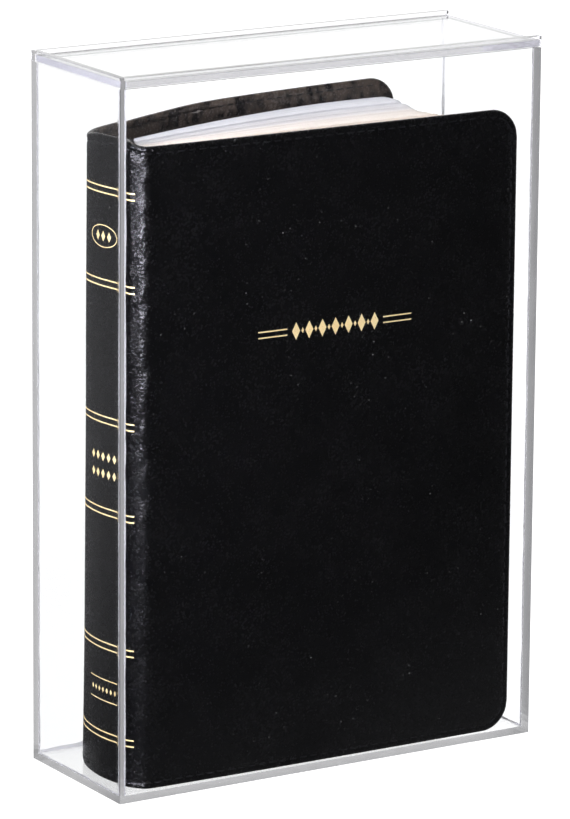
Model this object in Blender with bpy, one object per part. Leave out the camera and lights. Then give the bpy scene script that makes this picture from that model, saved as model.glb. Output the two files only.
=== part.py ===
"""A clear acrylic display case with a sliding lid, and the leather-bound Bible that stands in it.

Metres, +Z up. The origin is the bottom centre of the case: +X runs along the case's width, -Y is
its front, and the Bible stands upright with its spine to -X and its front cover to -Y.
"""
import math

import bmesh
import bpy
from mathutils import Vector

MM = 0.001

# Case: five welded acrylic panels and a lid that slides out to the right.
CASE_WIDTH = 178 * MM
CASE_DEPTH = 65 * MM
CASE_HEIGHT = 267 * MM
WALL = 2.4 * MM
SEAM = 0.3 * MM  # left between pieces that touch
GROOVE_DEPTH = WALL / 2
GROOVE_TOP = CASE_HEIGHT - 1.35 * MM
LID_PLAY = 0.3 * MM  # between the lid and each side of its groove
LID_TOP = GROOVE_TOP - LID_PLAY
LID_BOTTOM = LID_TOP - WALL
GROOVE_BOTTOM = LID_BOTTOM - LID_PLAY

INNER_X = CASE_WIDTH / 2 - WALL
INNER_Y = CASE_DEPTH / 2 - WALL

# Bible: the outside of its cover in plan, from the front fore-edge round the spine to the back
# fore-edge, at the foot and at the head. Points with the same place in both lists go together.
COVER_FOOT = [(80.4, -29.8), (30, -29.8), (-20, -29.7), (-53.5, -29.2), (-70, -28.8), (-76, -28.1),
              (-79.6, -24.6), (-81.3, -21.2), (-80.7, -17.5), (-81.4, -13), (-81.8, -7), (-81.1, 1),
              (-79.1, 9), (-74, 18.5), (-66, 24), (-50, 28), (-20, 29.6), (20, 29.8), (63.2, 29.8)]
COVER_HEAD = [(80.4, -29.8), (30, -29.8), (-20, -29.7), (-53.5, -29.3), (-70, -29), (-76.2, -28.5),
              (-79.9, -25.4), (-81.1, -22.0), (-79.6, -16.5), (-80.2, -11.5), (-81, -6), (-81, 1),
              (-79.4, 6), (-73.3, 10.9), (-62, 14.5), (-47.4, 19.2), (-20, 27.2), (20, 29.8), (63.2, 29.8)]
FRONT_EDGE, FRONT_JOINT, BACK_JOINT, BACK_EDGE = 0, 5, 12, 18  # places in those lists
COVER_BOTTOM = WALL + SEAM
COVER_TOP = 241.2 * MM
BACK_COVER_RISE = 4.4 * MM  # the splayed back cover stands this much higher at its fore-edge
SPINE_RISE = 1.4 * MM  # the head of the spine stands up this much past the covers
COVER_CORNER = 11 * MM
BOARD_INSET = 2 * MM  # from the cover's head, foot and fore-edges
STIFFENER_INSET = 5 * MM
LINING_INSET = 1 * MM
BOARD_STOP = 1.2  # places in the outline between a board and its joint
STIFFENER_START, STIFFENER_STOP = 1.6, 0.7  # the same for the stiffener, in front and at the back
LINING_STOP = 0.9
LEATHER = 0.8 * MM
BOARD = 0.8 * MM
LINING = 0.3 * MM
COVER_GAP = 0.25 * MM  # between the layers of the cover

# Text block: its front and back leaves in plan, from the spine to the fore-edge.
FRONT_LEAF = [(-70.5, -23.9), (-53.5, -25.0), (-20, -26.3), (20, -26.5), (68.5, -26.5)]
BACK_LEAF = [(-65, 0.6), (-40, 9.6), (-5, 19.6), (30, 26.0), (61.8, 26.3)]
FORE_EDGE_HOLLOW = 8.2 * MM  # how far the fanned fore-edge curves in
HOLLOW_SKEW = 1.15  # over 1 puts the deepest part of the hollow nearer to the front
BLOCK_BOTTOM = 5.9 * MM
BLOCK_TOP = 237.4 * MM
LEAF_CORNER = 7 * MM
CORNER_STATIONS = (0.55, 0.2)  # where a rounded corner has columns, in shares of its radius
SECTIONS = 8
FLYLEAF = 0.3 * MM
HEADBAND_RADIUS = 1.3 * MM
HEADBAND_INSET = 0.5 * MM
GAUZE = 0.6 * MM
GAUZE_INSET, GAUZE_MARGIN = 1 * MM, 6 * MM  # from the block's faces, and from its head and foot


def clear_scene():
    for obj in list(bpy.data.objects):
        bpy.data.objects.remove(obj, do_unlink=True)


def material(name, colour, roughness, metallic=0.0, transmission=0.0):
    made = bpy.data.materials.new(name)
    made.use_nodes = True
    shader = made.node_tree.nodes["Principled BSDF"]
    shader.inputs["Base Color"].default_value = (*colour, 1)
    shader.inputs["Roughness"].default_value = roughness
    shader.inputs["Metallic"].default_value = metallic
    shader.inputs["Transmission Weight"].default_value = transmission
    return made


def new_object(name, mesh_maker, finish, parent=None, origin=(0, 0, 0)):
    """An object whose mesh is made round its own origin."""
    shape = bmesh.new()
    mesh_maker(shape)
    bmesh.ops.recalc_face_normals(shape, faces=shape.faces)
    mesh = bpy.data.meshes.new(name)
    shape.to_mesh(mesh)
    shape.free()
    obj = bpy.data.objects.new(name, mesh)
    bpy.context.scene.collection.objects.link(obj)
    obj.location = origin
    obj.parent = parent
    if finish:
        mesh.materials.append(finish)
    return obj


def empty(name, place=(0, 0, 0)):
    made = bpy.data.objects.new(name, None)
    made.location = place
    bpy.context.scene.collection.objects.link(made)
    return made


def box(name, low, high, finish, parent=None):
    """A rectangular piece between two corners, with its origin at its own middle."""
    low, high = Vector(low), Vector(high)

    def shape_box(shape):
        bmesh.ops.create_cube(shape, size=1)
        bmesh.ops.scale(shape, vec=high - low, verts=shape.verts)

    return new_object(name, shape_box, finish, parent, (low + high) / 2)


def cut(obj, cutter):
    cutter.hide_render = True
    cutter.display_type = "WIRE"
    boolean = obj.modifiers.new("groove", "BOOLEAN")
    boolean.operation = "DIFFERENCE"
    boolean.object = cutter


def smooth(obj, angle=35):
    obj.data.shade_smooth()
    obj.data.set_sharp_from_angle(angle=math.radians(angle))


# ---- Case -----------------------------------------------------------------------------------


def make_long_wall(name, side, finish):
    """The front (side -1) or back (side +1) panel, with the lid's groove along its inner face."""
    outer = side * CASE_DEPTH / 2
    inner = side * INNER_Y
    near, far = sorted((outer, inner))
    panel = box(name, (-CASE_WIDTH / 2, near, 0), (CASE_WIDTH / 2, far, CASE_HEIGHT), finish)
    near, far = sorted((inner - side * WALL, inner + side * GROOVE_DEPTH))
    groove = box(name + "_groove", (-INNER_X, near, GROOVE_BOTTOM),
                 (CASE_WIDTH / 2 + WALL, far, GROOVE_TOP), None)
    cut(panel, groove)


def make_case(finish):
    make_long_wall("front_panel", -1, finish)
    make_long_wall("back_panel", 1, finish)
    end = INNER_Y - SEAM
    box("bottom_panel", (-CASE_WIDTH / 2, -end, 0), (CASE_WIDTH / 2, end, WALL), finish)
    box("left_panel", (-CASE_WIDTH / 2, -end, WALL + SEAM), (-INNER_X, end, CASE_HEIGHT), finish)
    box("right_panel", (INNER_X, -end, WALL + SEAM), (CASE_WIDTH / 2, end, GROOVE_BOTTOM), finish)


def make_lid(finish):
    """The lid runs from the left wall to the case's right end, with its edges in both grooves."""
    slide = empty("lid_slide", (0, 0, (LID_TOP + LID_BOTTOM) / 2))
    half_depth = INNER_Y + GROOVE_DEPTH - LID_PLAY
    half_thick = WALL / 2
    box("sliding_lid", (-INNER_X + LID_PLAY, -half_depth, -half_thick),
        (CASE_WIDTH / 2, half_depth, half_thick), finish, slide)


# ---- Bible cover ----------------------------------------------------------------------------


def spline(points, place):
    """The point at a fractional place in a list, on a Catmull-Rom curve through it, in metres."""
    index = min(int(place), len(points) - 2)
    t = place - index
    before = points[max(index - 1, 0)]
    start, end = points[index], points[index + 1]
    after = points[min(index + 2, len(points) - 1)]
    value = []
    for a, b, c, d in zip(before, start, end, after):
        value.append(0.5 * (2 * b + (c - a) * t + (2 * a - 5 * b + 4 * c - d) * t * t
                            + (3 * b - a - 3 * c + d) * t ** 3))
    return Vector(value) * MM


def inward(points, place, depth):
    """That point moved by depth towards the inside of the book."""
    step = 0.05
    along = spline(points, min(place + step, BACK_EDGE)) - spline(points, max(place - step, 0))
    along.normalize()
    # The outline runs from the front fore-edge to the left, so the inside is on its left hand.
    return spline(points, place) + Vector((along.y, -along.x)) * depth


def places_between(first, last, edges, per_span):
    """Places along the outline, close together at a rounded fore-edge end of the sheet."""
    count = max(2, round((last - first) * per_span))
    spread = [first + (last - first) * k / count for k in range(count + 1)]
    corner = [0.01, 0.035, 0.07, 0.12, 0.17, 0.22]
    if "front" in edges:
        spread += [first + step for step in corner]
    if "back" in edges:
        spread += [last - step for step in corner]
    return sorted(spread)


def back_rise(place):
    """How far the splayed back cover is lifted at this place."""
    return BACK_COVER_RISE * max(0.0, (place - BACK_JOINT) / (BACK_EDGE - BACK_JOINT)) ** 1.5


def spine_rise(place):
    """How far the head of the spine stands up at this place."""
    front = min(max((place - FRONT_JOINT) / 2.2, 0), 1)
    back = min(max((BACK_JOINT - place) / 2, 0), 1)
    share = front * back
    return SPINE_RISE * share * share * (3 - 2 * share)


def rounded_in(distance, radius):
    """How far a rounded corner cuts into the height at this distance from the edge."""
    if distance >= radius:
        return 0.0
    return radius - math.sqrt(radius ** 2 - (radius - distance) ** 2)


def make_sheet(name, first, last, depth, thickness, inset, edges, finish, parent, per_span=2.0):
    """One layer of the cover: a bent sheet between two places on the outline.

    It lies depth inside the outline and is inset from the cover's head and foot. edges names the
    fore-edge ends, which have rounded corners and are inset too.
    """
    rows = 6
    stations = places_between(first, last, edges, per_span)

    def shape_sheet(shape):
        length = [0.0]
        for a, b in zip(stations, stations[1:]):
            length.append(length[-1] + (spline(COVER_HEAD, b) - spline(COVER_HEAD, a)).length)
        layers = []
        for level in (depth, depth + thickness):
            grid = []
            for place, run in zip(stations, length):
                trim = inset
                radius = COVER_CORNER - inset
                if "front" in edges:
                    trim += rounded_in(run, radius)
                if "back" in edges:
                    trim += rounded_in(length[-1] - run, radius)
                low = COVER_BOTTOM + back_rise(place) + trim
                high = COVER_TOP + back_rise(place) + spine_rise(place) - trim
                foot = inward(COVER_FOOT, place, level)
                head = inward(COVER_HEAD, place, level)
                column = []
                for row in range(rows + 1):
                    up = low + (high - low) * row / rows
                    share = (up - COVER_BOTTOM) / (COVER_TOP - COVER_BOTTOM)
                    across = foot.lerp(head, share)
                    column.append(shape.verts.new((across.x, across.y, up)))
                grid.append(column)
            layers.append(grid)
        outer, inner = layers
        for grid in layers:
            for a, b in zip(grid, grid[1:]):
                for row in range(rows):
                    shape.faces.new((a[row], a[row + 1], b[row + 1], b[row]))
        rim = [column[0] for column in outer] + outer[-1][1:]
        rim += [column[-1] for column in reversed(outer[:-1])] + outer[0][-2:0:-1]
        inner_rim = [column[0] for column in inner] + inner[-1][1:]
        inner_rim += [column[-1] for column in reversed(inner[:-1])] + inner[0][-2:0:-1]
        for k in range(len(rim)):
            after = (k + 1) % len(rim)
            shape.faces.new((rim[k], rim[after], inner_rim[after], inner_rim[k]))

    sheet = new_object(name, shape_sheet, finish, parent)
    smooth(sheet)


def fore_edge_place(inset, front):
    """The place on the outline that lies inset from a fore-edge."""
    if front:
        return inset / (COVER_HEAD[0][0] - COVER_HEAD[1][0]) / MM
    return BACK_EDGE - inset / (COVER_HEAD[-1][0] - COVER_HEAD[-2][0]) / MM


def make_cover(leather, board, lining, parent):
    make_sheet("leather_cover", FRONT_EDGE, BACK_EDGE, 0, LEATHER, 0, ("front", "back"), leather,
               parent)
    depth = LEATHER + COVER_GAP
    front_in = fore_edge_place(BOARD_INSET, True)
    back_in = fore_edge_place(BOARD_INSET, False)
    make_sheet("front_board", front_in, FRONT_JOINT - BOARD_STOP, depth, BOARD, BOARD_INSET,
               ("front",), board, parent)
    make_sheet("back_board", BACK_JOINT + BOARD_STOP, back_in, depth, BOARD, BOARD_INSET, ("back",),
               board, parent)
    make_sheet("spine_stiffener", FRONT_JOINT + STIFFENER_START, BACK_JOINT - STIFFENER_STOP, depth,
               BOARD / 2, STIFFENER_INSET, (), board, parent, per_span=3.0)
    depth += BOARD + COVER_GAP
    front_in = fore_edge_place(LINING_INSET, True)
    back_in = fore_edge_place(LINING_INSET, False)
    make_sheet("front_lining", front_in, FRONT_JOINT - LINING_STOP, depth, LINING, LINING_INSET,
               ("front",), lining, parent)
    make_sheet("back_lining", BACK_JOINT + LINING_STOP, back_in, depth, LINING, LINING_INSET,
               ("back",), lining, parent)


# ---- Text block -----------------------------------------------------------------------------


def leaf_point(share, along):
    """A point of the leaf at this share of the block's thickness, 0 at the front and 1 at the back.

    along runs from 0 at the spine to 1 at the fore-edge, which curves in between the two covers.
    """
    last = len(FRONT_LEAF) - 1
    front = spline(FRONT_LEAF, along * last)
    back = spline(BACK_LEAF, along * last)
    point = front.lerp(back, share)
    point.x -= FORE_EDGE_HOLLOW * math.sin(math.pi * min(share * HOLLOW_SKEW, 1)) * along ** 2
    return point


def make_leaves(name, first, last, offsets, finish, parent, steps=10):
    """A group of leaves between two shares of the thickness, each face moved by its offset."""

    def shape_leaves(shape):
        front, back = [], []
        end_front = leaf_point(first, 1)
        corner = LEAF_CORNER / (end_front - leaf_point(first, 0)).length
        rounding = [1 - corner * part for part in CORNER_STATIONS]
        stations = sorted([k / steps for k in range(steps + 1)] + rounding)
        for along in stations:
            trim = rounded_in((end_front - leaf_point(first, along)).length, LEAF_CORNER)
            for share, offset, side in ((first, offsets[0], front), (last, offsets[1], back)):
                point = leaf_point(share, along)
                low = shape.verts.new((point.x, point.y + offset, BLOCK_BOTTOM + trim))
                high = shape.verts.new((point.x, point.y + offset, BLOCK_TOP - trim))
                side.append((low, high))
        for side in (front, back):
            for a, b in zip(side, side[1:]):
                shape.faces.new((a[0], b[0], b[1], a[1]))
        for a, b, c, d in zip(front, front[1:], back, back[1:]):
            shape.faces.new((a[0], b[0], d[0], c[0]))
            shape.faces.new((a[1], b[1], d[1], c[1]))
        for k in (0, -1):
            shape.faces.new((front[k][0], front[k][1], back[k][1], back[k][0]))

    leaves = new_object(name, shape_leaves, finish, parent)
    smooth(leaves, 20)


def make_text_block(paper, parent):
    half = SEAM / 2
    for number in range(SECTIONS):
        make_leaves(f"page_section_{number + 1}", number / SECTIONS, (number + 1) / SECTIONS,
                    (half, -half), paper, parent)
    make_leaves("front_flyleaf", 0, 0, (-half - FLYLEAF, -half), paper, parent)
    make_leaves("back_flyleaf", 1, 1, (half, half + FLYLEAF), paper, parent)


def spine_run(inset):
    """The two ends of the block's spine edge in plan, and the way out of the block from it."""
    front, back = leaf_point(0, 0), leaf_point(1, 0)
    along = (back - front).normalized()
    outward = Vector((-along.y, along.x))
    return front + along * inset, back - along * inset, outward


def make_spine_gauze(finish, parent):
    """The gauze and paper that hold the sections together, glued down their folded edges."""
    front, back, outward = spine_run(GAUZE_INSET)

    def shape_gauze(shape):
        corners = []
        for end in (front, back):
            for away in (SEAM, SEAM + GAUZE):
                place = end + outward * away
                corners.append((place.x, place.y))
        near_front, far_front, near_back, far_back = corners
        base = [near_front, near_back, far_back, far_front]
        face = shape.faces.new([shape.verts.new((x, y, BLOCK_BOTTOM + GAUZE_MARGIN)) for x, y in base])
        raised = bmesh.ops.extrude_face_region(shape, geom=[face])
        tops = [item for item in raised["geom"] if isinstance(item, bmesh.types.BMVert)]
        height = BLOCK_TOP - BLOCK_BOTTOM - 2 * GAUZE_MARGIN
        bmesh.ops.translate(shape, vec=(0, 0, height), verts=tops)

    return new_object("spine_gauze", shape_gauze, finish, parent)


def make_headband(name, height, finish, parent):
    """The rounded woven band along one end of the block's spine edge."""
    front, back, outward = spine_run(HEADBAND_INSET)
    away = outward * (SEAM + HEADBAND_RADIUS)
    front, back = front + away, back + away
    sides = 10

    def shape_band(shape):
        rings = []
        for end in (front, back):
            ring = []
            for k in range(sides):
                turn = 2 * math.pi * k / sides
                out = outward * (HEADBAND_RADIUS * math.cos(turn))
                up = HEADBAND_RADIUS * math.sin(turn)
                ring.append(shape.verts.new((end.x + out.x, end.y + out.y, height + up)))
            rings.append(ring)
        first, last = rings
        for k in range(sides):
            after = (k + 1) % sides
            shape.faces.new((first[k], first[after], last[after], last[k]))
        shape.faces.new(first)
        shape.faces.new(last)

    band = new_object(name, shape_band, finish, parent)
    smooth(band, 50)


def main():
    clear_scene()
    acrylic = material("clear_acrylic", (0.94, 0.96, 0.97), 0.03, transmission=1.0)
    leather = material("black_leather", (0.012, 0.012, 0.014), 0.42)
    board = material("grey_board", (0.22, 0.20, 0.18), 0.85)
    lining = material("dark_lining", (0.03, 0.022, 0.018), 0.6)
    paper = material("thin_paper", (0.93, 0.90, 0.84), 0.8)
    gauze = material("spine_gauze", (0.75, 0.72, 0.64), 0.9)
    band = material("headband_cloth", (0.02, 0.02, 0.02), 0.8)

    make_case(acrylic)
    make_lid(acrylic)
    bible = empty("bible", (0, 0, 0))
    make_cover(leather, board, lining, bible)
    make_text_block(paper, bible)
    make_spine_gauze(gauze, bible)
    make_headband("head_band", BLOCK_TOP - HEADBAND_RADIUS / 2, band, bible)
    make_headband("tail_band", BLOCK_BOTTOM + HEADBAND_RADIUS / 2, band, bible)


main()
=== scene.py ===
import math
import random

import bmesh
import bpy
import numpy as np
from mathutils import Matrix, Vector, noise


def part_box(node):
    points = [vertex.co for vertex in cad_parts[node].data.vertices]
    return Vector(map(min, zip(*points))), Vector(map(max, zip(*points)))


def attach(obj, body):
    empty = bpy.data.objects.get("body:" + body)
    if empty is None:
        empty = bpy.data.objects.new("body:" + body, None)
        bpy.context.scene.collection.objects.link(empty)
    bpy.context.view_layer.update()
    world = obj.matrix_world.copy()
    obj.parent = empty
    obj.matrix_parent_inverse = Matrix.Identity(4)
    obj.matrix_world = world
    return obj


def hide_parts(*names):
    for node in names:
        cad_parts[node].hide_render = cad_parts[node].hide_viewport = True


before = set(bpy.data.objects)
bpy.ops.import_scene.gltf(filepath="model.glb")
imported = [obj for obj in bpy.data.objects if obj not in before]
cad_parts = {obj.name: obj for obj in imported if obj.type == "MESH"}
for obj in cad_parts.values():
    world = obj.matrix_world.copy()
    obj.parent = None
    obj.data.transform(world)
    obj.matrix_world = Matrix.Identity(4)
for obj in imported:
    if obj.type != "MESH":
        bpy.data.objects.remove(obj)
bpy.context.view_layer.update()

MM = 0.001


# ==== Welded acrylic case ====================================================================
# Five sheets of clear cast acrylic, sawn to size, scraped nearly smooth at their edges and
# welded with solvent into one tank. The front and back sheets have a milled groove for the lid.

class Wire:
    """A shader node's output. Sums written with it add Math nodes beside that node."""

    def __init__(self, nodes, socket):
        self.nodes = nodes
        self.socket = socket

    def sum(self, operation, first, second):
        return self.nodes.node("ShaderNodeMath", {"operation": operation}, {0: first, 1: second})

    def __add__(self, other):
        return self.sum("ADD", self, other)

    def __radd__(self, other):
        return self.sum("ADD", other, self)

    def __sub__(self, other):
        return self.sum("SUBTRACT", self, other)

    def __rsub__(self, other):
        return self.sum("SUBTRACT", other, self)

    def __mul__(self, other):
        return self.sum("MULTIPLY", self, other)

    def __rmul__(self, other):
        return self.sum("MULTIPLY", other, self)

    def __gt__(self, other):
        return self.sum("GREATER_THAN", self, other)


class Nodes:
    """The shader nodes of a material, or of the world."""

    def __init__(self, tree):
        self.tree = tree

    def node(self, kind, settings=None, sockets=None, out=0):
        """Adds a node, sets it up, then gives its sockets their values or links."""
        made = self.tree.nodes.new(kind)
        for key, value in (settings or {}).items():
            if key == "stops":
                ramp = made.color_ramp.elements
                while len(ramp) < len(value):
                    ramp.new(1)
                for stop, (place, colour) in zip(ramp, value):
                    stop.position = place
                    stop.color = (*colour, 1)
            else:
                setattr(made, key, value)
        for key, value in (sockets or {}).items():
            self.plug(made.inputs[key], value)
        return Wire(self, made.outputs[out])

    def plug(self, socket, value):
        """Links a wire to a socket, or sets the socket's own value."""
        if isinstance(value, Wire):
            self.tree.links.new(value.socket, socket)
        elif isinstance(value, tuple) and len(value) == 3 and socket.type == "RGBA":
            socket.default_value = (*value, 1)
        else:
            socket.default_value = value


class Finish(Nodes):
    """A material with one Principled shader, and the nodes that feed it."""

    def __init__(self, name, **constants):
        self.material = bpy.data.materials.new(name)
        self.material.use_nodes = True
        super().__init__(self.material.node_tree)
        self.shader = self.tree.nodes["Principled BSDF"]
        self.feed(**constants)

    def feed(self, **sockets):
        """Values or links for the shader's own sockets, with _ for each space in their names."""
        for name, value in sockets.items():
            self.plug(self.shader.inputs[name.replace("_", " ")], value)

    def place(self, scale=(1, 1, 1)):
        """Where a point is on the piece, in metres, stretched by scale."""
        where = self.node("ShaderNodeTexCoord", out="Object")
        return self.node("ShaderNodeMapping", None, {"Vector": where, "Scale": scale})

    def noise(self, size, detail=2.0, where=None, rough=0.5):
        """Soft noise from 0 to 1 whose lumps are about size across."""
        sockets = {"Vector": where or self.place(), "Scale": 1 / size, "Detail": detail}
        return self.node("ShaderNodeTexNoise", None, {**sockets, "Roughness": rough}, "Fac")

    def blend(self, share, first, second):
        """The first colour where share is 0 and the second where it is 1."""
        return self.node("ShaderNodeMix", {"data_type": "RGBA"}, {0: share, 6: first, 7: second}, 2)

    def between(self, value, low, high):
        """Runs smoothly from 0 where value is low to 1 where it is high."""
        settings = {"interpolation_type": "SMOOTHSTEP"}
        return self.node("ShaderNodeMapRange", settings, {0: value, 1: low, 2: high})

    def bump(self, height, deep, **sockets):
        """A Bump node: height from 0 to 1 stands for a relief this deep."""
        return self.node("ShaderNodeBump", None, {"Height": height, "Distance": deep, **sockets})


def new_piece(name, shape, body, finishes, node_names, angle):
    """Makes a piece from a bmesh, sets it on the body it rides on, and hides the parts it stands
    for.

    Edges that turn by more than the angle, in degrees, stay sharp.
    """
    bmesh.ops.recalc_face_normals(shape, faces=shape.faces)
    mesh = bpy.data.meshes.new(name)
    shape.to_mesh(mesh)
    shape.free()
    for finish in finishes:
        mesh.materials.append(finish.material)
    mesh.shade_smooth()
    mesh.set_sharp_from_angle(angle=math.radians(angle))
    piece = bpy.data.objects.new(name, mesh)
    bpy.context.scene.collection.objects.link(piece)
    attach(piece, body)
    if node_names:
        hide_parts(*node_names)
    return piece


def ease_edges(shape, width):
    """Takes the sharpness off every outer edge, as a scraper or a flame does."""
    bmesh.ops.recalc_face_normals(shape, faces=shape.faces)
    outer = [e for e in shape.edges if e.calc_face_angle_signed(0) > math.radians(30)]
    bmesh.ops.bevel(shape, geom=outer, offset=width, segments=2, profile=0.5, affect="EDGES",
                    clamp_overlap=True)


TRAPPED_AFTER = 3.5  # reflections inside a sheet, after which its light counts as trapped and a painted glow stands in for it
PAINTED_GLOW_FRONT, PAINTED_GLOW_BACK = (0.09, 0.09, 0.095), (0.29, 0.29, 0.295)  # the painted glow of trapped light, towards the front and towards the back
SAWN_TINT = (0.86, 0.86, 0.87), (0.96, 0.96, 0.97)
ARRIS = 0.16 * MM  # eased off each outer edge
EDGE_WIDTH = 1.6  # sheet thicknesses: a face narrower than this is a sawn edge


def acrylic(name, duller, tint=SAWN_TINT, dull=0.06, clearness=1.0):
    """Clear acrylic. A sheet's faces are glossy; a sawn edge is duller, with fine tool marks.

    Trapped light is painted as a grey glow at a sheet's edges, more so towards the bright back.
    """
    finish = Finish(name, Transmission_Weight=clearness, IOR=1.49, Emission_Strength=1.0)
    finish.material.cycles.emission_sampling = "NONE"
    cloud = finish.noise(60 * MM, 2)
    clear = finish.blend(cloud, (0.985, 0.99, 0.995), (0.995, 0.997, 1.0))
    relief = finish.bump(finish.noise(90 * MM, 1), 0.25 * MM, Strength=0.12)
    # painted glow: after a few reflections inside a sheet, it emits grey light of its own, brighter
    # towards the back and in streaks
    trapped = finish.node("ShaderNodeLightPath", out="Glossy Depth") > TRAPPED_AFTER
    streak = finish.between(finish.noise(5 * MM, 4, finish.place((1, 1, 0.25))), 0.3, 0.7)
    backward = finish.node("ShaderNodeSeparateXYZ", None, {"Vector": finish.place()}, "Y")
    reached = finish.between(backward, -25 * MM, 30 * MM)
    glow = finish.blend(0.85 * reached + 0.15 * streak, PAINTED_GLOW_FRONT, PAINTED_GLOW_BACK)
    finish.feed(Base_Color=clear, Normal=relief, Roughness=0.0,
                Emission_Color=finish.blend(trapped, (0.0, 0.0, 0.0), glow))
    if duller:
        marks = finish.noise(1.4 * MM, 3, finish.place((1, 6, 1)))
        relief = finish.bump(marks, 0.03 * MM, Strength=0.5, Normal=relief)
        finish.feed(Base_Color=finish.blend(marks, *tint), Roughness=dull + 0.1 * marks,
                    Normal=relief)
    return finish


clear_face = acrylic("clear_acrylic", False)
sawn_edge = acrylic("sawn_acrylic_edge", True)

front_low, front_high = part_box("front_panel")
back_low, back_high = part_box("back_panel")
left_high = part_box("left_panel")[1]
right_low, right_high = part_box("right_panel")
bottom_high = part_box("bottom_panel")[1]
lid_low, lid_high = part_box("sliding_lid")
lid_play = lid_low.z - right_high.z

# The planes between the tank's solid and empty blocks: across, from front to back, and upward.
across = [front_low.x, left_high.x, right_low.x, front_high.x]
deep = [front_low.y, lid_low.y - lid_play, front_high.y,
        back_low.y, lid_high.y + lid_play, back_high.y]
upward = [front_low.z, bottom_high.z, lid_low.z - lid_play, lid_high.z + lid_play, front_high.z]


def is_acrylic(i, j, k):
    """Whether the block between these planes, across, deep and upward, and the next is solid."""
    if not (0 <= i < 3 and 0 <= j < 5 and 0 <= k < 4):
        return False
    if j in (0, 4):
        return True
    if j in (1, 3):
        return not (k == 2 and i > 0)
    return k == 0 or i == 0 or (i == 2 and k < 2)


def weld_tank():
    """The welded tank as one closed shape, so that light crosses its joints without a step."""
    shape = bmesh.new()
    corners = {}

    def corner(i, j, k):
        if (i, j, k) not in corners:
            corners[i, j, k] = shape.verts.new((across[i], deep[j], upward[k]))
        return corners[i, j, k]

    for block in np.ndindex(3, 5, 4):
        if not is_acrylic(*block):
            continue
        for axis, side in np.ndindex(3, 2):
            beyond = list(block)
            beyond[axis] += 2 * side - 1
            if is_acrylic(*beyond):
                continue
            around = []
            for a, b in ((0, 0), (1, 0), (1, 1), (0, 1)):
                at = list(block)
                at[axis] += side
                at[(axis + 1) % 3] += a
                at[(axis + 2) % 3] += b
                around.append(corner(*at))
            shape.faces.new(around if side else around[::-1])
    bmesh.ops.dissolve_limit(shape, angle_limit=0.01, verts=shape.verts, edges=shape.edges)
    return shape


def mark_sawn(shape, thickness):
    """Gives the narrow faces, which a saw has cut, the second material."""
    for face in shape.faces:
        spans = []
        for axis in range(3):
            values = [v.co[axis] for v in face.verts]
            spans.append(max(values) - min(values))
        spans.sort()
        face.material_index = int(spans[1] < EDGE_WIDTH * thickness)


wall = left_high.x - front_low.x
tank_shape = weld_tank()
ease_edges(tank_shape, ARRIS)
mark_sawn(tank_shape, wall)
tank = new_piece("welded_case", tank_shape, "case", [clear_face, sawn_edge],
                 ("front_panel", "back_panel", "left_panel", "right_panel", "bottom_panel"), 20)


# ==== Weld lines =============================================================================
# Where the end walls meet the other sheets, the solvent has left a thin cloudy line of cement
# in the corner, not quite even. Along the foot of the back sheet it ran thicker near both ends.

BEAD = 0.8 * MM
BEAD_GAP = 0.03 * MM
BEAD_STEPS = 60
BEAD_TOP_GAP = 0.5 * MM  # below the lid
BACK_BEAD_LEFT, BACK_BEAD_RIGHT = -58 * MM, 66 * MM  # where the thick stretches stop and start
BACK_BEAD_REACH, BACK_BEAD_RISE = 0.6, 2.4  # times the usual size


def skin_rings(shape, rings):
    """Covers a row of equal rings of points with faces, and closes both ends."""
    sides = len(rings[0])
    for a, b in zip(rings, rings[1:]):
        for j in range(sides):
            after = (j + 1) % sides
            shape.faces.new((a[j], b[j], b[after], a[after]))
    shape.faces.new(rings[0])
    shape.faces.new(rings[-1])


def lay_bead(shape, start, end, first, second):
    """A three-sided bead in a corner, from start to end, with legs in two directions."""
    rings = []
    for k in range(BEAD_STEPS + 1):
        at = start.lerp(end, k / BEAD_STEPS) + (first + second) * BEAD_GAP
        size = BEAD * (0.8 + 0.35 * noise.noise(at * 180))
        rings.append([shape.verts.new(at + leg * size) for leg in (Vector(), first, second)])
    skin_rings(shape, rings)


cement = Finish("cement_line", Transmission_Weight=0.8, IOR=1.45)
cloudy = cement.noise(1.5 * MM, 4)
cement.feed(Base_Color=cement.blend(cloudy, (0.3, 0.3, 0.31), (0.7, 0.7, 0.71)),
            Roughness=0.25 + 0.3 * cloudy, Normal=cement.bump(cloudy, 0.1 * MM, Strength=0.6))
bead_shape = bmesh.new()
bead_top = lid_low.z - BEAD_TOP_GAP
for x, inward_x in ((across[1], Vector((1, 0, 0))), (across[2], Vector((-1, 0, 0)))):
    for y, inward_y in ((deep[2], Vector((0, 1, 0))), (deep[3], Vector((0, -1, 0)))):
        foot = Vector((x, y, upward[1] + BEAD_GAP))
        lay_bead(bead_shape, foot, Vector((x, y, bead_top)), inward_x, inward_y)
    near, far = Vector((x, deep[2] + BEAD, upward[1])), Vector((x, deep[3] - BEAD, upward[1]))
    lay_bead(bead_shape, near, far, inward_x, Vector((0, 0, 1)))
for start, end in ((across[1] + BEAD, BACK_BEAD_LEFT), (BACK_BEAD_RIGHT, across[2] - BEAD)):
    lay_bead(bead_shape, Vector((start, deep[3], upward[1])), Vector((end, deep[3], upward[1])),
             Vector((0, -BACK_BEAD_REACH, 0)), Vector((0, 0, BACK_BEAD_RISE)))
beads = new_piece("weld_lines", bead_shape, "case", [cement], (), 40)
beads.visible_shadow = False


# ==== Sliding lid ============================================================================
# One more sheet of the same acrylic, whose two short ends are left rough from the saw. Its long
# edges run in the two grooves; it stops against the tall left wall, and pulls out to the right.

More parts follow.
